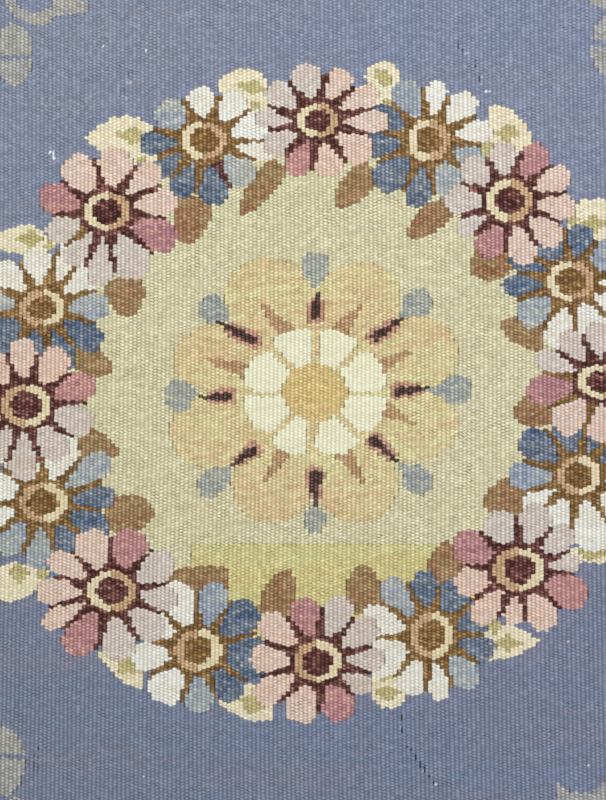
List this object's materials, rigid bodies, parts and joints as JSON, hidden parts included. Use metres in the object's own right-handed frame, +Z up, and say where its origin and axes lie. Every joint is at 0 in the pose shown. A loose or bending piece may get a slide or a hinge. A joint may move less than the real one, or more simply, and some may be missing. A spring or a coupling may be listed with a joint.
{
  "type": "aubusson rug",
  "caption": "Flat cut length of a weft-faced tapestry rug, ribbed by its warps, with a woven wreath of flowers round a petalled rosette on a blue field.",
  "frame": {"origin": "middle of the flat underside, where the cloth rests", "axes": "+Z up out of the face, +Y along the warps towards the far end of the design, +X to the right of the design"},
  "size_m": [0.654, 0.72, 0.003],
  "materials": {
    "woven_wool": "matt wool yarn, weft-faced tapestry weave, hand dyed"
  },
  "bodies": {
    "root": {"rug": "woven_wool"}
  },
  "joints": []
}
